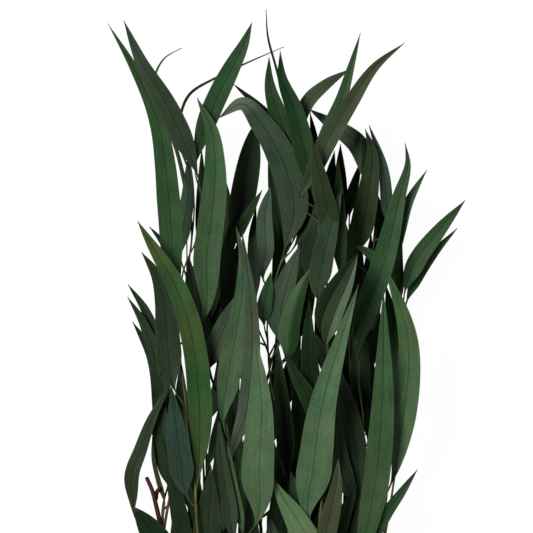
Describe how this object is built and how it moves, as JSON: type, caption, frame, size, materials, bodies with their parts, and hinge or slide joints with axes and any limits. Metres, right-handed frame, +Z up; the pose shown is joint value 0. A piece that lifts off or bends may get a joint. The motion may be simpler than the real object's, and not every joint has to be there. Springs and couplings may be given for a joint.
{
  "type": "eucalyptus branch",
  "caption": "Cut branch of long-leaved eucalyptus lying flat: brown forked wood and leafy shoots with long sickle-shaped green leaves, for decoration.",
  "frame": {"origin": "centre of the flat spot under the cut end of the main stem, on the surface that the branch lies on", "axes": "+Y from the cut end towards the leaf tips, +X to the right seen from above, +Z up from the surface"},
  "size_m": [0.2517, 0.6643, 0.0783],
  "materials": {
    "leaf": "preserved leaf, satin dark green with a paler midrib",
    "bark": "matt red-brown bark"
  },
  "bodies": {
    "root": {"shoot_back_left": "leaf", "shoot_back_right": "leaf", "shoot_back_middle": "leaf", "shoot_left_outer": "leaf", "shoot_right_outer": "leaf", "shoot_right_middle": "leaf", "shoot_middle": "leaf", "shoot_right_inner": "leaf", "shoot_left_inner": "leaf", "shoot_left_front": "leaf", "shoot_right_front": "leaf", "woody_stem": "bark"}
  },
  "joints": []
}
